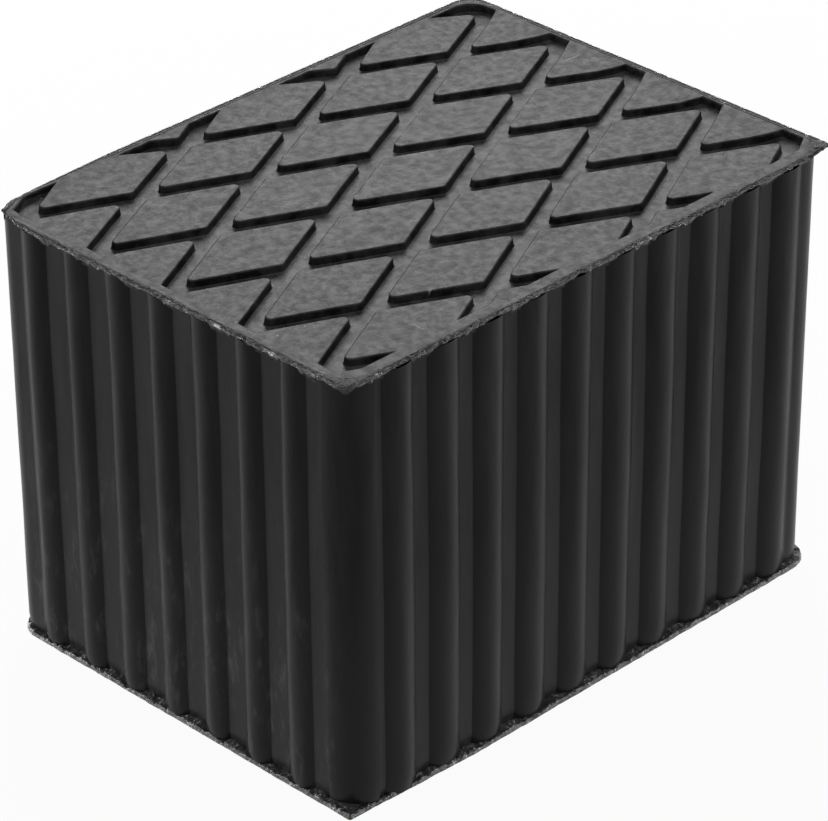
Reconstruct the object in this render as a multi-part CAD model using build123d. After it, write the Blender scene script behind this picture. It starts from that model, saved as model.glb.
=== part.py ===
from build123d import *

import os

# Rubber block for the arm of a vehicle lift: one moulding in black rubber.
#
# Frame: X along the length, Y along the width, Z up.  The origin is the middle
# of the underside, and every size is in millimetres.

# Overall size, with the flash.
LENGTH = 160.0
WIDTH = 120.0
HEIGHT = 115.0

# Flash: the thin skin of rubber squeezed out where the mould halves close.
# It runs round the top edge and round the bottom edge.  One corner of each
# skin is left as a point, and the other three follow the walls.
FLASH_THICKNESS = 1.4
TOP_FLASH_CORNER_RADIUS = 6.0
BOTTOM_FLASH_CORNER_RADIUS = 8.5

# Walls: depths are measured in from the outer edge of the flash.
GROOVE_DEPTH = 2.2
CORNER_DEPTH = 1.4
CORNER_RADIUS = 7.0
BAND_HEIGHT = 3.4

# Upright ribs with a rounded crest.  The rows are a little off the middle of
# the flash, because the mould halves don't meet exactly.
RIB_RISE = 1.9
RIB_ROOT = 1.0
LONG_SIDE_RIBS = 10
LONG_SIDE_PITCH = 14.24
LONG_SIDE_RIB_WIDTH = 10.4
LONG_SIDE_SHIFT = 1.5
SHORT_SIDE_RIBS = 7
SHORT_SIDE_PITCH = 14.35
SHORT_SIDE_RIB_WIDTH = 8.4
SHORT_SIDE_SHIFT = 2.5

# Tread: raised rhombic pads in a sunk field, off the middle as the ribs are.
BORDER_WIDTH = 3.6
TREAD_SHIFT_ALONG = 1.2
TREAD_SHIFT_ACROSS = 1.2
FIELD_CORNER_RADIUS = 5.0
TREAD_DEPTH = 2.0
PAD_PITCH_ALONG = 52.0
PAD_PITCH_ACROSS = 25.4
CHANNEL_WIDTH = 4.2
PAD_CORNER_RADIUS = 1.8
PAD_EDGE_CHAMFER = 0.4

FIELD_LENGTH = LENGTH - 2 * BORDER_WIDTH
FIELD_WIDTH = WIDTH - 2 * BORDER_WIDTH


def plan(inset, corner_radius):
    """Rounded outline of the block, set in from the edge of the flash."""
    return RectangleRounded(LENGTH - 2 * inset, WIDTH - 2 * inset, corner_radius)


def rib_section(width):
    """Section of one rib on a wall along X, with its foot on the X axis."""
    half = width / 2
    crest = ThreePointArc((-half, 0), (0, RIB_RISE), (half, 0))
    root = Polyline((half, 0), (half, -RIB_ROOT), (-half, -RIB_ROOT), (-half, 0))
    return make_face(crest + root)


def rib_rows(count, pitch, width, distance, shift):
    """Rows of ribs on two opposite walls, both moved the same way along X."""
    spots = GridLocations(pitch, 1, count, 1)
    far_row = Pos(shift, distance) * spots * rib_section(width)
    near_row = Pos(shift, -distance) * spots * (Rot(0, 0, 180) * rib_section(width))
    return Sketch() + far_row + near_row


def corner_posts():
    """The four rounded corners, which stand out from the groove floors."""
    reach = CORNER_DEPTH + CORNER_RADIUS
    spots = GridLocations(LENGTH - reach, WIDTH - reach, 2, 2)
    return plan(CORNER_DEPTH, CORNER_RADIUS) & (Sketch() + spots * Rectangle(reach, reach))


def wall_section():
    """Plan of the walls with the corners and the ribs of all four sides."""
    groove_x = LENGTH / 2 - GROOVE_DEPTH
    groove_y = WIDTH / 2 - GROOVE_DEPTH
    long_rows = rib_rows(LONG_SIDE_RIBS, LONG_SIDE_PITCH, LONG_SIDE_RIB_WIDTH, groove_y, LONG_SIDE_SHIFT)
    short_rows = rib_rows(SHORT_SIDE_RIBS, SHORT_SIDE_PITCH, SHORT_SIDE_RIB_WIDTH, groove_x, SHORT_SIDE_SHIFT)
    core = plan(GROOVE_DEPTH, CORNER_RADIUS - GROOVE_DEPTH + CORNER_DEPTH)
    return core + corner_posts() + long_rows + Rot(0, 0, 90) * short_rows


def flash_skin(corner_radius, height, pointed_end):
    """One skin of flash from the given height up, with a point at one end of its near edge."""
    point_x = pointed_end * (LENGTH - corner_radius) / 2
    point_y = (corner_radius - WIDTH) / 2
    point = Pos(point_x, point_y) * Rectangle(corner_radius, corner_radius)
    outline = plan(0, corner_radius) + point
    return Pos(0, 0, height) * extrude(outline, FLASH_THICKNESS)


def pad_outline():
    """Top of one pad: a rhombus that leaves half a channel on each side."""
    half_along = PAD_PITCH_ALONG / 2
    half_across = PAD_PITCH_ACROSS / 2
    side = (half_along**2 + half_across**2) ** 0.5
    row_spacing = 2 * half_along * half_across / side
    share = 1 - CHANNEL_WIDTH / row_spacing
    x = half_along * share
    y = half_across * share
    rhombus = make_face(Polyline((x, 0), (0, y), (-x, 0), (0, -y), close=True))
    return fillet(rhombus.vertices(), PAD_CORNER_RADIUS)


def pad_places():
    """Centres of the pads: a grid and a second grid in its gaps."""
    columns = 2 * int(FIELD_LENGTH / PAD_PITCH_ALONG / 2 + 1) + 1
    rows = 2 * int(FIELD_WIDTH / PAD_PITCH_ACROSS / 2 + 1) + 1
    grid = GridLocations(PAD_PITCH_ALONG, PAD_PITCH_ACROSS, columns, rows)
    gaps = GridLocations(PAD_PITCH_ALONG, PAD_PITCH_ACROSS, columns + 1, rows + 1)
    return list(grid) + list(gaps)


def raised_pad():
    """One pad, from the floor of the field up, with its top edges eased."""
    pad = extrude(pad_outline(), TREAD_DEPTH)
    top_edges = pad.edges().filter_by_position(Axis.Z, TREAD_DEPTH, TREAD_DEPTH)
    return chamfer(top_edges, PAD_EDGE_CHAMFER)


def tread_channels():
    """The sunk field without its pads, as the solid that is cut away."""
    outline = RectangleRounded(FIELD_LENGTH, FIELD_WIDTH, FIELD_CORNER_RADIUS)
    pad = raised_pad()
    channels = extrude(outline, TREAD_DEPTH) - [place * pad for place in pad_places()]
    return Pos(TREAD_SHIFT_ALONG, TREAD_SHIFT_ACROSS, HEIGHT - TREAD_DEPTH) * channels


def rubber_block():
    """The whole moulding: ribbed walls, plain band, two skins of flash and the tread."""
    band = Pos(0, 0, HEIGHT - BAND_HEIGHT) * extrude(plan(CORNER_DEPTH, CORNER_RADIUS), BAND_HEIGHT)
    block = extrude(wall_section(), HEIGHT) + band
    block += flash_skin(BOTTOM_FLASH_CORNER_RADIUS, 0, -1)
    block += flash_skin(TOP_FLASH_CORNER_RADIUS, HEIGHT - FLASH_THICKNESS, 1)
    return block - tread_channels()


os.makedirs("parts", exist_ok=True)
export_step(rubber_block(), "parts/rubber_block.step")
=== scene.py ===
"""Rubber block for the arm of a vehicle lift, dressed for rendering.

Lengths are written in millimetres and turned into metres where a mesh or a
material is made.  Only the studio and the camera are written in metres, and
the scale of a material's noise is in repeats per metre.  The frame is the
part's own: X along the length, Y along the width, Z up, and the origin in the
middle of the underside.

The upright edges are named as the camera sees them: right (+X, -Y), far
(+X, +Y), left (-X, +Y) and near (-X, -Y).  Lists give them in that order.
"""
import math
from collections import namedtuple

import bmesh
import bpy
from mathutils import Matrix, Vector, noise


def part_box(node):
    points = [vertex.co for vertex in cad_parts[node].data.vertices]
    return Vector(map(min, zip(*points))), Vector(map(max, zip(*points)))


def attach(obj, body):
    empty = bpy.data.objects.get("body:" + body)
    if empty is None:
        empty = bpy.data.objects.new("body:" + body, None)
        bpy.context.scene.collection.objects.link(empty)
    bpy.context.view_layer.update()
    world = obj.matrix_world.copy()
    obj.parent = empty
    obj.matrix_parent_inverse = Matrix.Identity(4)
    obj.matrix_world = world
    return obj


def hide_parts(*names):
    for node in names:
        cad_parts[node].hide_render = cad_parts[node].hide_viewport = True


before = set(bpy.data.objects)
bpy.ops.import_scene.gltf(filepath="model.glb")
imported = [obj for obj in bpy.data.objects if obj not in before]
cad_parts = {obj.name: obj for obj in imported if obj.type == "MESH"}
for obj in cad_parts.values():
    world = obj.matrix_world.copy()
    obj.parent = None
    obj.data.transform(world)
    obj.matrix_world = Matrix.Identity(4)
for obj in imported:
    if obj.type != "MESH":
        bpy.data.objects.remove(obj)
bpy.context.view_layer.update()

MM = 0.001
low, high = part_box("rubber_block")
HALF_LENGTH = (high.x - low.x) / 2 / MM
HALF_WIDTH = (high.y - low.y) / 2 / MM
HEIGHT = (high.z - low.z) / MM

# The top is a little higher in the middle than near its edges.  The two far
# borders turn up again, between these two distances from the edge.
CROWN = 0.88
TURN_UP_START, TURN_UP_END = 8.0, 2.0

# Tread: a sunk field with rhombic pads, in a slab that closes the block.
FIELD_LEFT, FIELD_RIGHT = -75.5, 77.6
FIELD_NEAR, FIELD_FAR = -54.9, 57.4
FIELD_CORNER_RADII = (2.2, 6.0, 2.2, 6.0)
TREAD_DEPTH = 1.95
PAD_HALF_LONG, PAD_HALF_SHORT = 21.2, 10.4
PAD_TIP_RADIUS, LEAST_TIP_RADIUS = 1.4, 0.25
PAD_PITCH_X, PAD_PITCH_Y = 51.98, 25.42
PAD_SHIFT_X, PAD_SHIFT_Y = 1.4, 1.15
EDGE_ROUNDING = 0.55
EDGE_ROUNDING_DEPTH = 0.62 * EDGE_ROUNDING
FOOT_FILLET = 0.3
WALL_DRAFT = 0.15
SLAB_INSET = 1.5
SLAB_THICKNESS = 3.4
UNDERSIDE_THICKNESS = 0.3
CUT_SPACING = 5.0
TREAD_WANDER, TREAD_RIPPLE = 0.12, 0.04

# The pads are cut out of the field and the field out of the slab.  Each reaches
# past what it cuts: the pads at the floor and the top, the field at the top.
PAD_PAST_FLOOR, PAD_PAST_TOP, FIELD_PAST_TOP = 2.0, 3.0, 1.5

# Steps on round stretches: the section of a pad's edge, and corners in plan.
FILLET_STEPS, ROUNDING_STEPS = 3, 5
TIP_STEPS, FIELD_CORNER_STEPS, SLAB_CORNER_STEPS = 5, 10, 8
TOP_FLASH_STEPS, BOTTOM_FLASH_STEPS, BASE_STEPS = 10, 8, 4

# Walls.  Every depth is measured in from the face of the box.
GROOVE_DEPTH = 2.2
CREST_DEPTH = 0.3
CORNER_DEPTH = 1.45
CORNER_RADII = (6.9, 7.0, 5.8, 8.3)
RIB_PITCH_LONG, RIB_HALF_LONG, RIBS_LONG = 14.24, 5.1, 10
RIB_PITCH_SHORT, RIB_HALF_SHORT, RIBS_SHORT = 14.35, 4.2, 7
RIB_SHIFT_X, RIB_SHIFT_Y = 1.4, 2.5
RIB_STEPS, CORNER_STEPS, WALL_ROWS = 18, 16, 32
WALL_BOTTOM, WALL_BELOW_TREAD = 0.5, 0.8
LEAST_WALL_DEPTH = 0.05
FOOT_SET_IN, FOOT_HEIGHT = 0.45, 3.0
LID_SET_IN, LID_IN_SLAB = 0.1, 0.2

# The step from a rounded corner down to a groove: how far along its middle and
# its foot are, and how high its middle is.
STEP_MIDDLE, STEP_FOOT, STEP_MIDDLE_RISE = 0.35, 0.6, 0.12

# Unevenness of the walls: how far, and over what length.
SWAY, SWAY_SIZE = 0.38, 22
RISE_SHARE, RISE_SIZE = 0.08, 15
STREAK, STREAK_SIZE = 0.05, 2.4
SWELL, SWELL_SIZE = 0.12, 18
WALL_LEAN, LEAN_DIRECTION = 0.6, (-0.7, 0.7)

# Flash, with its outline as (x, y, corner radius).  Near the left corner the
# top flash is cut off slantwise to a point.
FLASH_STEP = 0.35
TOP_FLASH_THICKNESS = 0.8
TOP_FLASH_OUTLINE = (
    (HALF_LENGTH, -HALF_WIDTH, 0.5),
    (HALF_LENGTH, HALF_WIDTH, 6.5),
    (-42.0, HALF_WIDTH, 40.0),
    (-72.0, 58.8, 5.0),
    (-78.3, 56.8, 0.5),
    (-HALF_LENGTH, 48.0, 15.0),
    (-HALF_LENGTH, -HALF_WIDTH, 4.5),
)
# Distances from a corner at which a change in the top flash starts and is
# complete: the spike at the right, the tip at the left, the narrower flash
# beside that tip, and the wider flash at the near and far corners.
SPIKE_REACH = (12.0, 4.0)
TIP_REACH = (16.0, 7.0)
NARROWER_REACH = (20.0, 9.0)
WIDER_REACH = (10.0, 4.0)
# The bottom flash is set in at the near corner, along the long side up to an x.
BOTTOM_FLASH_RADII = (8.5, 8.5, 8.5, 0.8)
BOTTOM_FLASH_HEIGHT = 1.15
SET_IN_AT_CORNER, SET_IN_END, SET_IN_RADIUS = 1.8, -42.0, 40.0
BASE_INSET, BASE_EXTRA_RADIUS, BASE_THICKNESS = 3.0, 1.0, 0.8

# The slab's outer faces lie beyond these shares of the half length and of the
# half width, or beyond this sum of the two.
RIM_ALONG, RIM_ACROSS, RIM_TOGETHER = 0.975, 0.965, 1.86

# Marks in mm and degrees: x, y, half length, half width, turn.
PITS = ((-48.4, 49.0, 0.8, 0.5, 20), (-24.8, 33.2, 0.9, 0.5, 0), (-45.0, -24.3, 1.6, 1.0, 30),
        (50.8, -6.8, 1.3, 0.8, 60), (63.0, 17.0, 2.6, 0.25, -10))
SCRATCHES = ((-49.2, -51.0, 2.2, 0.18, 90), (72.0, 17.0, 2.4, 0.35, -10), (-66.5, -33.0, 0.5, 0.3, 20),
             (-36.0, -41.5, 0.6, 0.3, 0), (-70.2, 43.0, 0.45, 0.35, 0), (-61.3, -30.3, 0.7, 0.25, -45),
             (-64.0, -25.0, 0.6, 0.25, -45), (-73.5, -31.6, 0.5, 0.4, 0), (-75.7, -20.6, 0.5, 0.35, 0))
# Slivers torn up along the rim, just under the tread.
SLIVERS = ((-79.3, -36.1, 1.2, 0.5, 90), (-79.3, -30.5, 0.5, 0.4, 90), (-79.3, -18.5, 1.5, 0.35, 90),
           (-79.3, -2.6, 0.6, 0.3, 90), (17.0, -59.3, 0.9, 0.3, 0), (-70.0, -59.2, 0.9, 0.4, 0))
SLIVER_DEPTH, SLIVER_HALF_HEIGHT = CROWN + 0.35, 0.45
MARK_HALF_HEIGHT = 10.0
# The pits' colour is painted shade: the dark inside small pits that the mesh doesn't have.
PAINTED_PIT_SHADE, SCRATCH_SHADE, BORDER_SHADE, SLIVER_SHADE = 0.001, 0.18, 0.085, 0.50
# The low walls' shade is a painted reflection of the floor; the dust's shade is the dust's own colour.
LOW_WALL_PAINTED_REFLECTION, DUST_SHADE = 0.0085, 0.045

# Studio and camera, in metres, watts and degrees.
FLOOR_REACH = 4.0
FLOOR_GREY = 0.8
FLOOR_GLOW_SHARE = 0.94
ROOM_STRENGTH = 0.40
SOFTBOX_DISTANCE = 1.5
SOFTBOX_AIM = 0.06
SOFTBOX_SIZE = 0.9
STRIP_HEIGHT = 0.12
# Name, azimuth, elevation, height and power.  At azimuth 0 a lamp faces the
# near long side, at 90 the far short one.  The strips hang just over the floor
# and are about as high as the block, to light its walls and hardly its top.
SOFTBOXES = (
    ("front_right", 45, 0.4, STRIP_HEIGHT, 20.0),
    ("right_low", 90, 0.4, STRIP_HEIGHT, 17.0),
    ("behind_low", 135, 0.4, STRIP_HEIGHT, 17.0),
    ("left_low", 180, 0.4, STRIP_HEIGHT, 42.0),
    ("left_back", 225, 0.4, STRIP_HEIGHT, 20.0),
    ("behind", 135, 36, SOFTBOX_SIZE, 10.0),
    ("front_high", 315, 65, SOFTBOX_SIZE, 2.5),
)
CAMERA_PLACE = (-0.66486, -0.67653, 0.60701)
CAMERA_RIGHT = (0.70901, -0.70511, -0.01102)
CAMERA_FORWARD = (0.60446, 0.61570, -0.50551)
CAMERA_LENS, CAMERA_SENSOR = 198.6, 36.0


def wobble(x, y, z, size, octaves=3):
    """Smooth noise of about -1 to 1, with features `size` mm across."""
    return noise.fractal(Vector((x, y, z)) / size, 1.0, 2.0, octaves)


def smooth(value, start, end):
    """0 at start, 1 at end, flat beyond them, and a smooth ramp between them."""
    t = min(max((value - start) / (end - start), 0.0), 1.0)
    return t * t * (3 - 2 * t)


def inside(place):
    """The point's x and y, moved to within the block's own box if they lie past it."""
    x = min(max(place.x, -HALF_LENGTH), HALF_LENGTH)
    y = min(max(place.y, -HALF_WIDTH), HALF_WIDTH)
    return x, y


def turned_up(value, half):
    """How far the far border has turned up again, from 0 to 1."""
    return smooth(value, half - TURN_UP_START, half - TURN_UP_END)


def crown_drop(x, y):
    """How far the top lies below its highest point."""
    u = max(0.0, 1 - (x / HALF_LENGTH) ** 2)
    v = max(0.0, 1 - (y / HALF_WIDTH) ** 2)
    return CROWN * (1 - u * v) * (1 - max(turned_up(x, HALF_LENGTH), turned_up(y, HALF_WIDTH)))


def box_corners(inset):
    """Corners of the box set in: right, far, left, near."""
    x, y = HALF_LENGTH - inset, HALF_WIDTH - inset
    return [(x, -y), (x, y), (-x, y), (-x, -y)]


RIGHT, FAR, LEFT, NEAR = [Vector(corner) for corner in box_corners(0)]


def mesh_object(name, points, faces):
    mesh = bpy.data.meshes.new(name)
    mesh.from_pydata([tuple(p) for p in points], [], faces)
    mesh.update()
    made = bpy.data.objects.new(name, mesh)
    bpy.context.scene.collection.objects.link(made)
    return made


def rounded_outline(corners, radii, steps):
    """A convex outline, counter-clockwise, with each corner rounded by an arc."""
    outline = []
    count = len(corners)
    for i in range(count):
        here = Vector(corners[i])
        back = (Vector(corners[i - 1]) - here).normalized()
        ahead = (Vector(corners[(i + 1) % count]) - here).normalized()
        half_angle = back.angle(ahead) / 2
        reach = radii[i] / math.sin(half_angle)
        centre = here + (back + ahead).normalized() * reach
        start = -Vector((back.y, -back.x))
        turn = math.pi - 2 * half_angle
        first = math.atan2(start.y, start.x)
        for k in range(steps + 1):
            angle = first + turn * k / steps
            outline.append(centre + radii[i] * Vector((math.cos(angle), math.sin(angle))))
    return outline


def band_faces(count, rows):
    """Quads round a tube of `rows` rings with `count` points each."""
    faces = []
    for row in range(rows - 1):
        a, b = row * count, (row + 1) * count
        for i in range(count):
            j = (i + 1) % count
            faces.append((a + i, a + j, b + j, b + i))
    return faces


def closed_faces(count, rows):
    """The same tube with a face at its bottom and one at its top."""
    bottom = tuple(reversed(range(count)))
    top = tuple(range((rows - 1) * count, rows * count))
    return [bottom] + band_faces(count, rows) + [top]


def stack(layers):
    """Points and faces of a closed solid through outlines, lowest first: (outline, z).

    All the outlines have the same number of points.
    """
    points = [(p.x, p.y, z) for outline, z in layers for p in outline]
    return points, closed_faces(len(layers[0][0]), len(layers))


def quarter(steps):
    """Angles from 0 to 90 degrees, in radians."""
    return [math.radians(90 * k / steps) for k in range(steps + 1)]


def edge_profile():
    """(offset outwards from the pad's wall, height above the channel floor), floor first."""
    foot = [(WALL_DRAFT + FOOT_FILLET * (1 - math.sin(angle)), FOOT_FILLET * (1 - math.cos(angle)))
            for angle in quarter(FILLET_STEPS)]
    edge = [(-EDGE_ROUNDING * (1 - math.cos(angle)),
             TREAD_DEPTH - EDGE_ROUNDING_DEPTH * (1 - math.sin(angle)))
            for angle in quarter(ROUNDING_STEPS)]
    return foot + edge


def pad_outline(offset):
    reach = PAD_HALF_LONG * PAD_HALF_SHORT / math.hypot(PAD_HALF_LONG, PAD_HALF_SHORT)
    scale = 1 + offset / reach
    radius = max(PAD_TIP_RADIUS + offset, LEAST_TIP_RADIUS)
    along, across = PAD_HALF_LONG * scale, PAD_HALF_SHORT * scale
    corners = [(along, 0), (0, across), (-along, 0), (0, -across)]
    return rounded_outline(corners, [radius] * 4, TIP_STEPS)


def field_outline(offset):
    left, right = FIELD_LEFT - offset, FIELD_RIGHT + offset
    near, far = FIELD_NEAR - offset, FIELD_FAR + offset
    corners = [(right, near), (right, far), (left, far), (left, near)]
    radii = [radius + offset for radius in FIELD_CORNER_RADII]
    return rounded_outline(corners, radii, FIELD_CORNER_STEPS)


def pad_places():
    """Centres of the pads that reach the slab: a grid and a second grid in its gaps."""
    columns = int(HALF_LENGTH / PAD_PITCH_X) + 2
    rows = int(HALF_WIDTH / PAD_PITCH_Y) + 2
    places = []
    for i in range(-columns, columns + 1):
        for j in range(-rows, rows + 1):
            for half in (0.0, 0.5):
                x = PAD_SHIFT_X + (i + half) * PAD_PITCH_X
                y = PAD_SHIFT_Y + (j + half) * PAD_PITCH_Y
                if abs(x) <= HALF_LENGTH + PAD_HALF_LONG and abs(y) <= HALF_WIDTH + PAD_HALF_SHORT:
                    places.append((x, y))
    return places


def pads(floor, profile):
    """All the pads in one mesh, reaching past the field at both ends."""
    layers = [(pad_outline(profile[0][0]), floor - PAD_PAST_FLOOR)]
    layers += [(pad_outline(offset), floor + rise) for offset, rise in profile]
    layers += [(pad_outline(profile[-1][0]), HEIGHT + PAD_PAST_TOP)]
    pad_points, pad_faces = stack(layers)
    points, faces = [], []
    for x, y in pad_places():
        base = len(points)
        points += [(p[0] + x, p[1] + y, p[2]) for p in pad_points]
        faces += [tuple(base + k for k in face) for face in pad_faces]
    return mesh_object("pads", points, faces)


def channels(floor, profile):
    """The field as a solid, from the floor of the channels to above the top."""
    layers = [(field_outline(-profile[0][0]), floor)]
    layers += [(field_outline(-offset), floor + rise) for offset, rise in profile[1:]]
    layers += [(field_outline(-profile[-1][0]), HEIGHT + FIELD_PAST_TOP)]
    return mesh_object("channels", *stack(layers))


def boolean(target, cutter):
    """Cuts the second object out of the first and removes it."""
    cut = target.modifiers.new("cut", "BOOLEAN")
    cut.operation = "DIFFERENCE"
    cut.solver = "EXACT"
    cut.object = cutter
    graph = bpy.context.evaluated_depsgraph_get()
    result = bpy.data.meshes.new_from_object(target.evaluated_get(graph))
    target.modifiers.clear()
    target.data = result
    bpy.data.objects.remove(cutter)


def cut_across(solid):
    """Extra edges across the solid, so that it can bend."""
    for axis, reach in ((0, HALF_LENGTH), (1, HALF_WIDTH)):
        cuts = int(2 * reach / CUT_SPACING)
        for k in range(1, cuts):
            where, normal = Vector((0, 0, 0)), Vector((0, 0, 0))
            where[axis] = -reach + 2 * reach * k / cuts
            normal[axis] = 1
            parts = solid.verts[:] + solid.edges[:] + solid.faces[:]
            bmesh.ops.bisect_plane(solid, geom=parts, dist=1e-4, plane_co=where, plane_no=normal)


def bend_to_crown(solid):
    """Brings everything but the slab's underside down to the crown, a little unevenly."""
    for vertex in solid.verts:
        x, y, z = vertex.co
        if z > HEIGHT - SLAB_THICKNESS + UNDERSIDE_THICKNESS:
            vertex.co.x += TREAD_WANDER * wobble(x, y, 11, 14)
            vertex.co.y += TREAD_WANDER * wobble(x, y, 47, 14)
            vertex.co.z = z - crown_drop(x, y) + TREAD_RIPPLE * wobble(x, y, 83, 9) - TREAD_RIPPLE


def tread_slab():
    """The top of the block, with the channels sunk in it."""
    floor = HEIGHT - TREAD_DEPTH
    profile = edge_profile()
    raised_pads = pads(floor, profile)
    cutter = channels(floor, profile)
    boolean(cutter, raised_pads)

    # From the underside up: how far each outline is set in, and its depth below the top.
    rim = ((0.0, SLAB_THICKNESS), (0.0, 0.25), (0.08, 0.08), (0.25, 0.0))
    layers = []
    for inset, depth in rim:
        outline = rounded_outline(box_corners(SLAB_INSET + inset), CORNER_RADII, SLAB_CORNER_STEPS)
        layers.append((outline, HEIGHT - depth))
    slab = mesh_object("tread", *stack(layers))
    boolean(slab, cutter)

    solid = bmesh.new()
    solid.from_mesh(slab.data)
    cut_across(solid)
    bend_to_crown(solid)
    solid.to_mesh(slab.data)
    solid.free()
    return slab


# Each side: outward direction, direction of travel (counter-clockwise from
# above), half its own length, distance from the middle, and its ribs by number,
# pitch, half width and shift.  A side ends at the corner with its own index.
SIDES = (
    ((0, -1), (1, 0), HALF_LENGTH, HALF_WIDTH, RIBS_LONG, RIB_PITCH_LONG, RIB_HALF_LONG, RIB_SHIFT_X),
    ((1, 0), (0, 1), HALF_WIDTH, HALF_LENGTH, RIBS_SHORT, RIB_PITCH_SHORT, RIB_HALF_SHORT, RIB_SHIFT_Y),
    ((0, 1), (-1, 0), HALF_LENGTH, HALF_WIDTH, RIBS_LONG, RIB_PITCH_LONG, RIB_HALF_LONG, -RIB_SHIFT_X),
    ((-1, 0), (0, -1), HALF_WIDTH, HALF_LENGTH, RIBS_SHORT, RIB_PITCH_SHORT, RIB_HALF_SHORT, -RIB_SHIFT_Y),
)

# An upright line of the walls: a point at groove depth, two directions, how
# far the wall stands out from that point, and whether it is on a straight side.
Column = namedtuple("Column", "base outward travel rise straight")


def rib_height(offset, half):
    """Height of a rib above the groove floor: an arc as wide as the rib."""
    rise = GROOVE_DEPTH - CREST_DEPTH
    radius = (half * half + rise * rise) / (2 * rise)
    return math.sqrt(max(radius * radius - offset * offset, 0.0)) - (radius - rise)


def rib_stations(ribs, pitch, rib_half, shift):
    """(place along the side, rise) over a row of ribs and the grooves between them."""
    stations = []
    for i in range(ribs):
        centre = shift + pitch * (i - (ribs - 1) / 2)
        for step in range(RIB_STEPS + 1):
            offset = rib_half * math.sin(math.pi * (step / RIB_STEPS - 0.5))
            stations.append((centre + offset, rib_height(offset, rib_half)))
        if i < ribs - 1:
            groove = pitch - 2 * rib_half
            stations += [(centre + rib_half + groove * share, 0.0) for share in (0.33, 0.67)]
    return stations


def wall_columns():
    """The columns all round the block, side by side and corner by corner."""
    columns = []
    corner_rise = GROOVE_DEPTH - CORNER_DEPTH
    for k, (out, run, half, distance, ribs, pitch, rib_half, shift) in enumerate(SIDES):
        out, run = Vector(out), Vector(run)
        start = -half + CORNER_DEPTH + CORNER_RADII[k - 1]
        end = half - CORNER_DEPTH - CORNER_RADII[k]
        stations = rib_stations(ribs, pitch, rib_half, shift)
        first, last = stations[0][0], stations[-1][0]
        before = [(start, corner_rise), (start + STEP_MIDDLE, STEP_MIDDLE_RISE), (start + STEP_FOOT, 0.0),
                  ((start + STEP_FOOT + first) / 2, 0.0)]
        after = [((end - STEP_FOOT + last) / 2, 0.0), (end - STEP_FOOT, 0.0),
                 (end - STEP_MIDDLE, STEP_MIDDLE_RISE), (end, corner_rise)]
        last_rib = (ribs - 1) / 2 * pitch
        for t, rise in before + stations + after:
            # The rib nearest to a corner runs into it, with no groove between.
            if (t - shift) * math.copysign(1, shift) > last_rib:
                rise = max(rise, corner_rise)
            columns.append(Column(out * (distance - GROOVE_DEPTH) + run * t, out, run, rise, True))
        radius = CORNER_RADII[k] - corner_rise
        centre = out * (distance - GROOVE_DEPTH - radius) + run * (half - GROOVE_DEPTH - radius)
        for step in range(1, CORNER_STEPS):
            angle = math.pi / 2 * step / CORNER_STEPS
            outward = out * math.cos(angle) + run * math.sin(angle)
            travel = Vector((-outward.y, outward.x))
            columns.append(Column(centre + outward * radius, outward, travel, corner_rise, False))
    return columns


def wall_point(column, z, level):
    """A point of the wall, with all its unevenness; level runs from 0 at the foot to 1 at the top."""
    x, y = column.base
    slide, height = 0.0, column.rise
    if column.straight:
        slide = SWAY * wobble(x, y, z * 0.3, SWAY_SIZE)
        height = column.rise * (1 + RISE_SHARE * wobble(x + 200, y, z * 0.3, RISE_SIZE))
        height += STREAK * wobble(x, y + 70, z * 0.10, STREAK_SIZE)
    foot = smooth(z, FOOT_HEIGHT, WALL_BOTTOM)
    height += SWELL * wobble(x, y + 300, z * 0.5, SWELL_SIZE) - FOOT_SET_IN * foot
    height = min(height, GROOVE_DEPTH - LEAST_WALL_DEPTH)
    place = column.base + column.outward * height + column.travel * slide
    to_the_right = (x - y) / (HALF_LENGTH + HALF_WIDTH) + 1
    place += Vector(LEAN_DIRECTION) * WALL_LEAN * to_the_right * (0.5 - level)
    return (*inside(place), z)


def walls():
    """The four sides.  Their lid lies inside the slab, under the floors of the channels."""
    columns = wall_columns()
    height = HEIGHT - CROWN - WALL_BELOW_TREAD - WALL_BOTTOM
    points = []
    for row in range(WALL_ROWS):
        level = row / (WALL_ROWS - 1)
        z = WALL_BOTTOM + height * level
        points += [wall_point(column, z, level) for column in columns]
    lid = HEIGHT - SLAB_THICKNESS + LID_IN_SLAB
    points += [(*(column.base - column.outward * LID_SET_IN), lid) for column in columns]
    return mesh_object("walls", points, closed_faces(len(columns), WALL_ROWS + 1))


def spaced(outline, gap):
    """The closed outline as points about `gap` apart."""
    points = [Vector(p) for p in outline]
    result = []
    for i, here in enumerate(points):
        ahead = points[(i + 1) % len(points)]
        steps = max(1, round((ahead - here).length / gap))
        result += [here.lerp(ahead, k / steps) for k in range(steps)]
    return result


def outward_normals(outline):
    count = len(outline)
    normals = []
    for i in range(count):
        travel = (outline[(i + 2) % count] - outline[i - 2]).normalized()
        normals.append(Vector((travel.y, -travel.x)))
    return normals


def ring(name, outline, section):
    """A closed ring: section(point) gives (inset, z) pairs, the same number at each point."""
    points, count, turns = [], len(outline), 0
    for here, out in zip(outline, outward_normals(outline)):
        pairs = section(here)
        turns = len(pairs)
        for inset, z in pairs:
            points.append((*inside(here - out * inset), min(max(z, 0.0), HEIGHT)))
    faces = []
    for i in range(count):
        j = (i + 1) % count
        for k in range(turns):
            m = (k + 1) % turns
            faces.append((i * turns + k, i * turns + m, j * turns + m, j * turns + k))
    return mesh_object(name, points, faces)


def near_side(point):
    """1 at the two sides towards the front, 0 at the two behind."""
    return smooth(-point.x / HALF_LENGTH - point.y / HALF_WIDTH, -0.25, 0.05)


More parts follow.
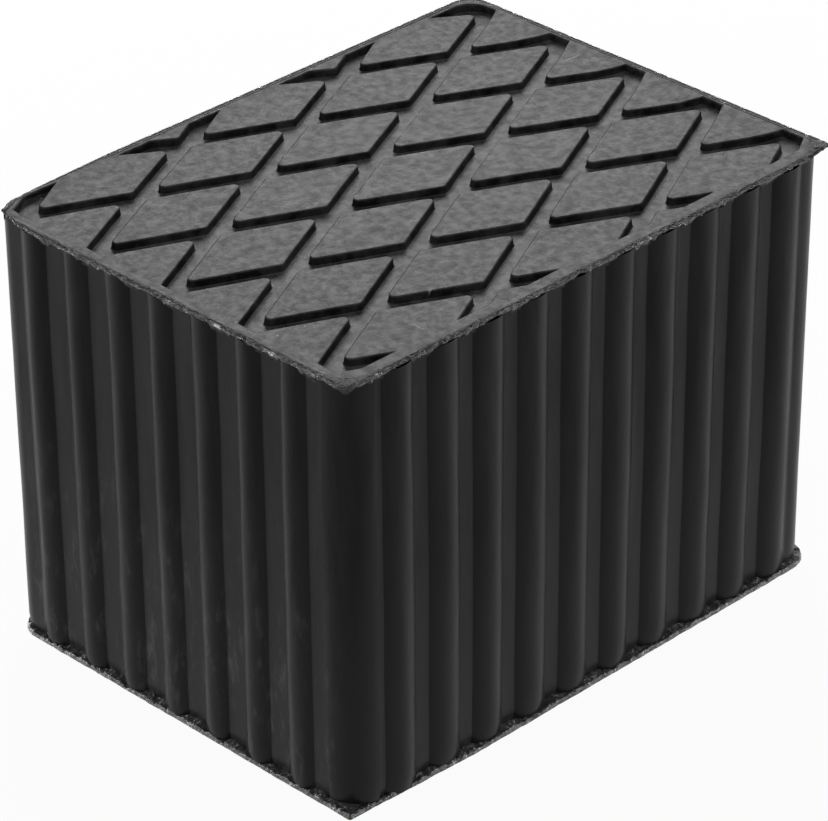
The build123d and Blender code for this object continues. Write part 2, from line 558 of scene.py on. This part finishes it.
def groove_share(point):
    """1 where the wall below has a groove, 0 over the crest of a rib."""
    if abs(point.x) / HALF_LENGTH > abs(point.y) / HALF_WIDTH:
        turns = (point.y - RIB_SHIFT_Y) / RIB_PITCH_SHORT + (RIBS_SHORT - 1) / 2
    else:
        turns = (point.x - RIB_SHIFT_X) / RIB_PITCH_LONG + (RIBS_LONG - 1) / 2
    return 0.5 - 0.5 * math.cos(2 * math.pi * turns)


def top_flash_section(p):
    """Section of the top flash: up inside the slab, out over the top, down the edge and back below.

    It is torn along the two sides towards the front, and clean behind.  At the
    right corner it runs out into a thin spike and at the left into a tip.
    """
    torn = near_side(p)
    spike = smooth((RIGHT - p).length, *SPIKE_REACH)
    tip = smooth((LEFT - p).length, *TIP_REACH)
    torn_off = torn * (1 - spike) * (1 - tip)
    groove = groove_share(p)

    top = HEIGHT - crown_drop(p.x, p.y) - 0.05
    bite = (0.05 + 0.70 * torn) * (0.5 + 0.5 * wobble(p.x, p.y, 3, 3.5, 6)) * (1 - spike)
    uneven = 0.8 + 0.3 * torn * wobble(p.x, p.y, 60, 2.1, 4)
    thick = TOP_FLASH_THICKNESS * uneven * (1 - 0.6 * max(spike, tip))
    hang = torn_off * (0.3 * groove + max(0.0, wobble(p.x, p.y, 31, 1.7, 5)))
    skirt = max(0.0, torn_off * (0.2 + 0.2 * groove + 0.6 * wobble(p.x, p.y, 223, 1.3, 5)))
    rough = [(0.05 + 0.34 * torn) * wobble(p.x, p.y, 300 + 17 * k, 0.6, 4) for k in range(7)]

    # Where it ends inside the slab: clear of the field, and further in at the corners.
    on_right = p.x > HALF_LENGTH - 0.01
    wider = 1.4 * smooth(min((p - NEAR).length, (p - FAR).length), *WIDER_REACH)
    inner = SLAB_INSET + 0.15 + 0.8 * torn_off + (0.8 if on_right else 3.0) * spike
    inner += wider - 0.75 * smooth((LEFT - p).length, *NARROWER_REACH)
    back = 3.2 + (-0.6 if on_right else 1.7) * spike + wider
    sunk = 2.5 - 1.9 * spike
    slope = 0.2 * (1 - spike)
    return (
        (back, top - sunk - 0.1),
        (inner, top - sunk),
        (inner, top - 0.2),
        (inner - 0.15, top + 0.01 - 0.1 * spike),
        (inner - 0.45, top + 0.3 * rough[0] * torn),
        (bite + 0.85, top + 0.5 * rough[1]),
        (bite + 0.70, top - 0.12 + 0.6 * rough[5]),
        (bite + 0.50, top + 0.02 + 0.8 * rough[2]),
        (bite + 0.12, top - 0.02 + 0.6 * rough[6]),
        (bite, top - 0.18),
        (bite + 0.08 + abs(rough[3]), top - 0.35 * thick),
        (bite + 0.05 + abs(rough[4]), top - 0.7 * thick - 0.4 * hang),
        (bite + 0.10 + abs(rough[0]), top - thick - 0.85 * hang),
        (bite + 0.35, top - thick - hang - 0.1),
        (1.3 + rough[1] * torn_off, top - thick - (0.3 + 0.9 * torn_off) * hang - slope - 0.7 * skirt),
        (1.3 + 0.75 * torn_off, top - thick - (0.3 + torn_off) * hang - slope - 1.5 * skirt),
        (back, top - sunk - 0.4 - 2.5 * torn_off),
    )


def top_flash():
    corners = [(x, y) for x, y, radius in TOP_FLASH_OUTLINE]
    radii = [radius for x, y, radius in TOP_FLASH_OUTLINE]
    outline = rounded_outline(corners, radii, TOP_FLASH_STEPS)
    return ring("top_flash", spaced(outline, FLASH_STEP), top_flash_section)


def bottom_flash_section(p):
    """Section of the bottom flash: out along the floor, up the edge and back over a rough ledge."""
    bite = 0.35 * (0.5 + 0.5 * wobble(p.x, p.y, 103, 4.0, 4))
    edge = BOTTOM_FLASH_HEIGHT + 0.45 * wobble(p.x, p.y, 131, 2.5, 4)
    ledge = edge + groove_share(p) * (0.15 + 0.25 * wobble(p.x, p.y, 171, 5.0))
    rough = [0.38 * wobble(p.x, p.y, 400 + 17 * k, 0.7, 4) for k in range(5)]
    return (
        (6.0, 0.0),
        (0.25 + bite, 0.0),
        (bite, 0.2),
        (bite + 0.05 + abs(rough[0]), 0.4 * edge),
        (bite + 0.10 + abs(rough[1]), 0.75 * edge),
        (bite + 0.35, edge + rough[2]),
        (0.95, edge + 0.3 * (ledge - edge) + rough[3]),
        (1.55, edge + 0.6 * (ledge - edge) + rough[4]),
        (2.3, ledge + 0.2 + rough[0]),
        (4.0, ledge + 0.4 + rough[1]),
        (8.0, ledge + 0.4),
    )


def bottom_flash():
    right, far, left, near = box_corners(0)
    near = (near[0], near[1] + SET_IN_AT_CORNER)
    corners = [right, far, left, near, (SET_IN_END, -HALF_WIDTH)]
    outline = rounded_outline(corners, BOTTOM_FLASH_RADII + (SET_IN_RADIUS,), BOTTOM_FLASH_STEPS)
    return ring("bottom_flash", spaced(outline, FLASH_STEP), bottom_flash_section)


def base_plate():
    """Closes the underside inside the bottom flash."""
    radii = [radius + BASE_EXTRA_RADIUS for radius in BOTTOM_FLASH_RADII]
    outline = rounded_outline(box_corners(BASE_INSET), radii, BASE_STEPS)
    return mesh_object("base", *stack([(outline, 0.0), (outline, BASE_THICKNESS)]))


def join(name, parts):
    """One object out of several, in metres."""
    whole = bmesh.new()
    for part in parts:
        whole.from_mesh(part.data)
        bpy.data.objects.remove(part)
    whole.transform(Matrix.Scale(MM, 4))
    bmesh.ops.triangulate(whole, faces=[f for f in whole.faces if len(f.verts) > 4])
    mesh = bpy.data.meshes.new(name)
    whole.to_mesh(mesh)
    whole.free()
    made = bpy.data.objects.new(name, mesh)
    bpy.context.scene.collection.objects.link(made)
    mesh.shade_smooth()
    mesh.set_sharp_from_angle(angle=math.radians(40))
    return made


def on_rim(place):
    """True beyond the field, where the slab's outer faces are."""
    along, across = abs(place.x) / HALF_LENGTH, abs(place.y) / HALF_WIDTH
    return along > RIM_ALONG or across > RIM_ACROSS or along + across > RIM_TOGETHER


def finish(part, name):
    """Marks the part's faces with the finish that they get."""
    marks = part.data.attributes.new("finish", "INT", "FACE")
    for face in part.data.polygons:
        marks.data[face.index].value = FINISHES.index(name)
    return part


def finish_slab(slab):
    """Marks the slab, where channel floors and outer faces have finishes of their own."""
    finish(slab, "tread")
    marks = slab.data.attributes["finish"].data
    for face in slab.data.polygons:
        x, y, z = face.center
        sunk = z < HEIGHT - crown_drop(x, y) - 0.6 * TREAD_DEPTH
        outward = face.normal.x * x + face.normal.y * y > 0
        if sunk and face.normal.z > 0.7:
            marks[face.index].value = FINISHES.index("floor")
        elif face.normal.z < 0.5 and outward and on_rim(face.center):
            marks[face.index].value = FINISHES.index("side")
    return slab


def build_block():
    parts = [finish_slab(tread_slab()), finish(walls(), "side"), finish(top_flash(), "worn"),
             finish(bottom_flash(), "crumb"), finish(base_plate(), "side")]
    block = join("rubber_block_skin", parts)
    for make_material in MATERIALS:
        block.data.materials.append(make_material())
    marks = block.data.attributes["finish"].data
    for face in block.data.polygons:
        face.material_index = marks[face.index].value
    smoothing = block.modifiers.new("flat_tops", "WEIGHTED_NORMAL")
    smoothing.mode = "FACE_AREA"
    smoothing.keep_sharp = True
    return block


def node(tree, kind, inputs=(), **properties):
    """A new node with its properties set, and its input values by name or number."""
    made = tree.nodes.new(kind)
    for key, value in properties.items():
        setattr(made, key, value)
    for key, value in dict(inputs).items():
        made.inputs[key].default_value = value
    return made


def grey(shade):
    return (shade, shade, shade * 0.99, 1)


def noise_at(tree, place, scale, detail, roughness):
    made = node(tree, "ShaderNodeTexNoise", {"Scale": scale, "Detail": detail, "Roughness": roughness})
    tree.links.new(place, made.inputs["Vector"])
    return made.outputs["Fac"]


def scaled(tree, place, scale):
    """The place with its axes scaled; noise read there is drawn out along a small one."""
    made = node(tree, "ShaderNodeMapping", {"Scale": scale})
    tree.links.new(place, made.inputs["Vector"])
    return made.outputs["Vector"]


def remap(tree, value, start, end, low_value=0.0, high_value=1.0):
    limits = {"From Min": start, "From Max": end, "To Min": low_value, "To Max": high_value}
    made = node(tree, "ShaderNodeMapRange", limits, interpolation_type="SMOOTHSTEP")
    tree.links.new(value, made.inputs["Value"])
    return made.outputs["Result"]


def along_axis(tree, place, axis, start, end):
    """0 at start and 1 at end along an axis of the part, in mm."""
    made = node(tree, "ShaderNodeSeparateXYZ")
    tree.links.new(place, made.inputs["Vector"])
    return remap(tree, made.outputs[axis], start * MM, end * MM)


def blend(tree, share, below, above):
    """Colour `below` going over to `above` where share is 1; either may be a socket."""
    made = node(tree, "ShaderNodeMix", data_type="RGBA")
    tree.links.new(share, made.inputs["Factor"])
    for socket, colour in ((made.inputs[6], below), (made.inputs[7], above)):
        if isinstance(colour, tuple):
            socket.default_value = colour
        else:
            tree.links.new(colour, socket)
    return made.outputs[2]


def times(tree, first, second):
    made = node(tree, "ShaderNodeMath", operation="MULTIPLY")
    tree.links.new(first, made.inputs[0])
    tree.links.new(second, made.inputs[1])
    return made.outputs[0]


def rubber(name, dark, pale, roughness, specular, grain, grain_size, upright=1.0, sheen_range=0.06):
    """Black rubber: blotches of two shades, uneven sheen and a fine grain.

    Returns the material, its node tree, the place socket and the colour socket.
    """
    material = bpy.data.materials.new(name)
    material.use_nodes = True
    tree = material.node_tree
    shader = tree.nodes["Principled BSDF"]
    shader.inputs["Specular IOR Level"].default_value = specular
    place = node(tree, "ShaderNodeTexCoord").outputs["Object"]
    drawn_out = scaled(tree, place, (1, 1, upright))
    blotch = remap(tree, noise_at(tree, drawn_out, 260, 7, 0.68), 0.36, 0.66)
    colour = blend(tree, blotch, grey(dark), grey(pale))
    sheen = noise_at(tree, drawn_out, 420, 6, 0.65)
    sheen = remap(tree, sheen, 0.3, 0.7, roughness - sheen_range, roughness + sheen_range)
    bump = node(tree, "ShaderNodeBump", {"Strength": grain, "Distance": 0.25 * MM})
    tree.links.new(noise_at(tree, place, 1 / (grain_size * MM), 4, 0.6), bump.inputs["Height"])
    tree.links.new(sheen, shader.inputs["Roughness"])
    tree.links.new(bump.outputs["Normal"], shader.inputs["Normal"])
    tree.links.new(colour, shader.inputs["Base Color"])
    return material, tree, place, colour


def recolour(tree, colour):
    tree.links.new(colour, tree.nodes["Principled BSDF"].inputs["Base Color"])


def spot(tree, place, x, y, half_long, half_wide, turn, depth=0.0, half_high=MARK_HALF_HEIGHT):
    """1 on a small oval mark `depth` mm below the highest point, fading to 0 round it."""
    made = node(tree, "ShaderNodeMapping", {
        "Location": (x * MM, y * MM, high.z - depth * MM),
        "Rotation": (0, 0, math.radians(turn)),
        "Scale": (half_long * MM, half_wide * MM, half_high * MM),
    }, vector_type="TEXTURE")
    tree.links.new(place, made.inputs["Vector"])
    distance = node(tree, "ShaderNodeVectorMath", operation="LENGTH")
    tree.links.new(made.outputs["Vector"], distance.inputs[0])
    return remap(tree, distance.outputs["Value"], 0.6, 1.1, 1.0, 0.0)


def streaks_along(tree, place, scale):
    """Fine lines along the axis that the scale is small on."""
    return remap(tree, noise_at(tree, scaled(tree, place, scale), 1500, 3, 0.6), 0.53, 0.66)


def tread_rubber():
    material, tree, place, colour = rubber(
        "tread_rubber", dark=0.004, pale=0.036, roughness=0.42, specular=0.24,
        grain=0.30, grain_size=0.8, sheen_range=0.09)
    # Pits are painted shade: near-black spots for the dark inside pits that the mesh doesn't have.
    for mark in PITS:
        colour = blend(tree, spot(tree, place, *mark), colour, grey(PAINTED_PIT_SHADE))
    for mark in SCRATCHES:
        colour = blend(tree, spot(tree, place, *mark), colour, grey(SCRATCH_SHADE))
    # Pale scratches run along the two borders towards the front.
    for axis, start, end, scale in (("X", -75.5, -77.5, (1, 0.06, 1)), ("Y", -55.5, -57.5, (0.06, 1, 1))):
        on_border = along_axis(tree, place, axis, start, end)
        lines = times(tree, streaks_along(tree, place, scale), on_border)
        colour = blend(tree, lines, colour, grey(BORDER_SHADE))
    recolour(tree, colour)
    return material


def shaded_side_rubber():
    # The walls' shades, far darker than the tread's, are partly painted shade for the light that the walls
    # lack; the tread is also paler from dust and wear.
    material, tree, place, colour = rubber(
        "shaded_side_rubber", dark=0.002, pale=0.006, roughness=0.33, specular=0.11,
        grain=0.20, grain_size=1.2, upright=0.12)
    # Lower down, the walls blend to a paler shade: a painted reflection of the floor. The same ramp keeps
    # the dust low.
    low_down = along_axis(tree, place, "Z", 80, 10)
    colour = blend(tree, low_down, colour, grey(LOW_WALL_PAINTED_REFLECTION))
    # Dust has settled low on the short side towards the front, but not on its near corner.
    dust = noise_at(tree, scaled(tree, place, (1, 1, 0.3)), 330, 8, 0.72)
    dust = remap(tree, dust, 0.50, 0.72, 0.0, 0.8)
    dusty_side = along_axis(tree, place, "X", -70, -77)
    off_corner = along_axis(tree, place, "Y", -56, -49)
    dusty = times(tree, times(tree, dust, low_down), times(tree, dusty_side, off_corner))
    recolour(tree, blend(tree, dusty, colour, grey(DUST_SHADE)))
    return material


def torn_rubber(name, dark, pale, fewest, most, speck_shade):
    """Torn flash: ragged grains, with pale specks where the noise lies above a level."""
    material, tree, place, colour = rubber(
        name, dark, pale, roughness=0.50, specular=0.40, grain=1.0, grain_size=0.6)
    specks = remap(tree, noise_at(tree, place, 1100, 5, 0.75), fewest, most)
    colour = blend(tree, specks, colour, grey(speck_shade))
    recolour(tree, colour)
    return material, tree, place, colour


def worn_rubber():
    """The torn top edge, with a few pale slivers broken up by noise."""
    material, tree, place, colour = torn_rubber(
        "worn_rubber", dark=0.005, pale=0.030, fewest=0.62, most=0.72, speck_shade=0.42)
    broken = remap(tree, noise_at(tree, place, 900, 4, 0.7), 0.36, 0.50)
    for mark in SLIVERS:
        sliver = spot(tree, place, *mark, SLIVER_DEPTH, SLIVER_HALF_HEIGHT)
        colour = blend(tree, times(tree, broken, sliver), colour, grey(SLIVER_SHADE))
    recolour(tree, colour)
    return material


def crumb_and_painted_light_rubber():
    # The bottom flash is pale partly from its own torn crumbs and pale specks, and partly as painted light
    # for its ledge, which lies in shade.
    return torn_rubber("crumb_and_painted_light_rubber", dark=0.020, pale=0.048, fewest=0.55, most=0.66, speck_shade=0.36)[0]


def painted_light_floor_rubber():
    # The channel floors are paler than the tread: painted light that makes up for the shade the pads cast
    # on them.
    return rubber("painted_light_floor_rubber", dark=0.018, pale=0.070, roughness=0.42, specular=0.27,
                  grain=0.35, grain_size=0.7, sheen_range=0.08)[0]


# The finishes and, in the same order, the materials that give them.
FINISHES = ("tread", "side", "worn", "floor", "crumb")
MATERIALS = (tread_rubber, shaded_side_rubber, worn_rubber, painted_light_floor_rubber, crumb_and_painted_light_rubber)


def mixed(tree, share, first, second, target):
    """Wires a mix of two shaders to the tree's output."""
    mix = node(tree, "ShaderNodeMixShader")
    tree.links.new(share, mix.inputs["Fac"])
    tree.links.new(first.outputs[0], mix.inputs[1])
    tree.links.new(second.outputs[0], mix.inputs[2])
    tree.links.new(mix.outputs[0], target.inputs["Surface"])


def floor_material():
    """A matt floor that the camera and reflections see as nearly white."""
    material = bpy.data.materials.new("pale_floor")
    material.use_nodes = True
    tree = material.node_tree
    tree.nodes.clear()
    matt = node(tree, "ShaderNodeBsdfDiffuse", {"Color": (FLOOR_GREY, FLOOR_GREY, FLOOR_GREY, 1)})
    glow = node(tree, "ShaderNodeEmission", {"Color": (1, 1, 1, 1), "Strength": 1.0})
    path = node(tree, "ShaderNodeLightPath")
    seen = node(tree, "ShaderNodeMath", operation="MAXIMUM")
    tree.links.new(path.outputs["Is Camera Ray"], seen.inputs[0])
    tree.links.new(path.outputs["Is Glossy Ray"], seen.inputs[1])
    share = node(tree, "ShaderNodeMath", {1: FLOOR_GLOW_SHARE}, operation="MULTIPLY")
    tree.links.new(seen.outputs[0], share.inputs[0])
    mixed(tree, share.outputs[0], matt, glow, node(tree, "ShaderNodeOutputMaterial"))
    return material


def room():
    """An even, dim room that the camera sees as white."""
    world = bpy.data.worlds.new("studio")
    bpy.context.scene.world = world
    world.use_nodes = True
    tree = world.node_tree
    tree.nodes.clear()
    dim = node(tree, "ShaderNodeBackground", {"Color": (1, 1, 1, 1), "Strength": ROOM_STRENGTH})
    white = node(tree, "ShaderNodeBackground", {"Color": (1, 1, 1, 1), "Strength": 1.0})
    path = node(tree, "ShaderNodeLightPath")
    mixed(tree, path.outputs["Is Camera Ray"], dim, white, node(tree, "ShaderNodeOutputWorld"))


def softbox(name, azimuth, elevation, height, watts):
    """A flat light aimed at the block."""
    turn, lift = math.radians(azimuth), math.radians(elevation)
    level = math.cos(lift)
    towards = Vector((math.sin(turn) * level, -math.cos(turn) * level, math.sin(lift)))
    light = bpy.data.lights.new(name, "AREA")
    light.shape = "RECTANGLE"
    light.size = SOFTBOX_SIZE
    light.size_y = height
    light.energy = watts
    holder = bpy.data.objects.new(name, light)
    bpy.context.scene.collection.objects.link(holder)
    holder.location = Vector((0, 0, SOFTBOX_AIM)) + towards * SOFTBOX_DISTANCE
    holder.rotation_euler = (-towards).to_track_quat("-Z", "Y").to_euler()


def studio():
    corners = ((-1, -1), (1, -1), (1, 1), (-1, 1))
    points = [(x * FLOOR_REACH, y * FLOOR_REACH, low.z) for x, y in corners]
    floor = mesh_object("floor", points, [(0, 1, 2, 3)])
    floor.data.materials.append(floor_material())
    room()
    for lamp in SOFTBOXES:
        softbox(*lamp)


def camera():
    lens = bpy.data.cameras.new("camera")
    lens.sensor_width = CAMERA_SENSOR
    lens.lens = CAMERA_LENS
    lens.clip_start = 0.05
    lens.clip_end = 20.0
    view = bpy.data.objects.new("camera", lens)
    bpy.context.scene.collection.objects.link(view)
    view.location = CAMERA_PLACE
    forward = Vector(CAMERA_FORWARD)
    up = Vector(CAMERA_RIGHT).cross(forward).normalized()
    right = forward.cross(up).normalized()
    view.rotation_euler = Matrix((right, up, -forward)).transposed().to_euler()
    bpy.context.scene.camera = view


block = build_block()
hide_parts("rubber_block")
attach(block, "root")
studio()
camera()
bpy.context.scene.view_settings.view_transform = "Standard"
